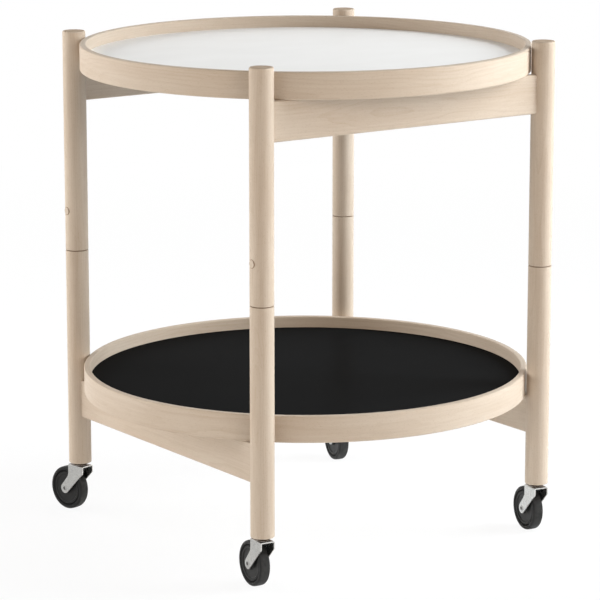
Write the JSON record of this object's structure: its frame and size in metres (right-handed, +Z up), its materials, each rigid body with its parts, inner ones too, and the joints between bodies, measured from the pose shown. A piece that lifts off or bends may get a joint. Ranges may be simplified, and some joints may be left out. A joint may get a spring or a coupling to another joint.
{
  "type": "serving trolley",
  "caption": "Small serving trolley: loose round rimmed trays rest on beams between round wooden legs that roll on swivel castors.",
  "frame": {"origin": "on the floor, under the middle of the trolley", "axes": "+Z up; the upper beams run along X, the front one on the -Y side; the lower beams run along Y"},
  "size_m": [0.5999, 0.6, 0.67],
  "materials": {
    "leg_beech": "smooth round beech, rubbed with white soap",
    "beam_beech": "planed beech with rounded edges, rubbed with white soap",
    "rim_beech": "bent beech with rounded edges, rubbed with white soap",
    "plug_beech": "turned beech button with the grain across it",
    "dowel_beech": "raw beech dowel",
    "core_board": "thin board, edges hidden in the rim",
    "light_laminate": "smooth light laminate with a satin sheen",
    "black_laminate": "smooth black laminate with a satin sheen",
    "plated_steel": "stamped sheet, bright zinc plating",
    "pin_steel": "turned steel, bright zinc plating",
    "dark_steel": "turned steel, oil blackened with a brown cast",
    "seam_washer": "thin washer of brown pressed fibre",
    "wheel_core": "moulded black plastic, slight sheen",
    "tyre": "smooth black rubber"
  },
  "bodies": {
    "frame": {"upper_leg_front_left": "leg_beech", "lower_leg_front_left": "leg_beech", "pivot_pin_front_left": "pin_steel", "castor_sleeve_front_left": "dark_steel", "upper_leg_front_right": "leg_beech", "lower_leg_front_right": "leg_beech", "pivot_pin_front_right": "pin_steel", "castor_sleeve_front_right": "dark_steel", "upper_leg_rear_right": "leg_beech", "lower_leg_rear_right": "leg_beech", "pivot_pin_rear_right": "pin_steel", "castor_sleeve_rear_right": "dark_steel", "upper_leg_rear_left": "leg_beech", "lower_leg_rear_left": "leg_beech", "pivot_pin_rear_left": "pin_steel", "castor_sleeve_rear_left": "dark_steel", "upper_beam_front": "beam_beech", "upper_beam_rear": "beam_beech", "lower_beam_left": "beam_beech", "lower_beam_right": "beam_beech", "seam_washers": "seam_washer", "side_plugs": "plug_beech", "beam_dowels": "dowel_beech"},
    "upper_tray": {"upper_tray_rim": "rim_beech", "upper_tray_core_board": "core_board", "upper_tray_light_laminate": "light_laminate", "upper_tray_black_laminate": "black_laminate"},
    "lower_tray": {"lower_tray_rim": "rim_beech", "lower_tray_core_board": "core_board", "lower_tray_light_laminate": "light_laminate", "lower_tray_black_laminate": "black_laminate"},
    "castor_front_left": {"castor_stem_front_left": "pin_steel", "stem_clip_front_left": "pin_steel", "thrust_washer_front_left": "dark_steel", "castor_yoke_front_left": "plated_steel", "axle_rivet_front_left": "plated_steel"},
    "wheel_front_left": {"wheel_core_front_left": "wheel_core", "tyre_front_left": "tyre"},
    "castor_front_right": {"castor_stem_front_right": "pin_steel", "stem_clip_front_right": "pin_steel", "thrust_washer_front_right": "dark_steel", "castor_yoke_front_right": "plated_steel", "axle_rivet_front_right": "plated_steel"},
    "wheel_front_right": {"wheel_core_front_right": "wheel_core", "tyre_front_right": "tyre"},
    "castor_rear_right": {"castor_stem_rear_right": "pin_steel", "stem_clip_rear_right": "pin_steel", "thrust_washer_rear_right": "dark_steel", "castor_yoke_rear_right": "plated_steel", "axle_rivet_rear_right": "plated_steel"},
    "wheel_rear_right": {"wheel_core_rear_right": "wheel_core", "tyre_rear_right": "tyre"},
    "castor_rear_left": {"castor_stem_rear_left": "pin_steel", "stem_clip_rear_left": "pin_steel", "thrust_washer_rear_left": "dark_steel", "castor_yoke_rear_left": "plated_steel", "axle_rivet_rear_left": "plated_steel"},
    "wheel_rear_left": {"wheel_core_rear_left": "wheel_core", "tyre_rear_left": "tyre"}
  },
  "joints": [
    {"name": "upper_tray_lift", "type": "slide", "parent": "frame", "child": "upper_tray", "axis": [0, 0, 1], "range_m": [0, 0.1]},
    {"name": "lower_tray_lift", "type": "slide", "parent": "frame", "child": "lower_tray", "axis": [0, 0, 1], "range_m": [0, 0.34]},
    {"name": "castor_swivel_front_left", "type": "hinge", "parent": "frame", "child": "castor_front_left", "pos_m": [-0.224, -0.224, 0.07], "axis": [0, 0, 1], "continuous": true},
    {"name": "wheel_spin_front_left", "type": "hinge", "parent": "castor_front_left", "child": "wheel_front_left", "pos_m": [-0.2219, -0.2026, 0.03], "axis": [0.9952, -0.0976, 0], "continuous": true},
    {"name": "castor_swivel_front_right", "type": "hinge", "parent": "frame", "child": "castor_front_right", "pos_m": [0.224, -0.224, 0.07], "axis": [0, 0, 1], "continuous": true},
    {"name": "wheel_spin_front_right", "type": "hinge", "parent": "castor_front_right", "child": "wheel_front_right", "pos_m": [0.22777, -0.20283, 0.03], "axis": [0.9845, -0.1754, 0], "continuous": true},
    {"name": "castor_swivel_rear_right", "type": "hinge", "parent": "frame", "child": "castor_rear_right", "pos_m": [0.224, 0.224, 0.07], "axis": [0, 0, 1], "continuous": true},
    {"name": "wheel_spin_rear_right", "type": "hinge", "parent": "castor_rear_right", "child": "wheel_rear_right", "pos_m": [0.22847, 0.24503, 0.03], "axis": [0.9781, -0.2079, 0], "continuous": true},
    {"name": "castor_swivel_rear_left", "type": "hinge", "parent": "frame", "child": "castor_rear_left", "pos_m": [-0.224, 0.224, 0.07], "axis": [0, 0, 1], "continuous": true},
    {"name": "wheel_spin_rear_left", "type": "hinge", "parent": "castor_rear_left", "child": "wheel_rear_left", "pos_m": [-0.22898, 0.24491, 0.03], "axis": [0.9728, 0.2317, 0], "continuous": true}
  ]
}
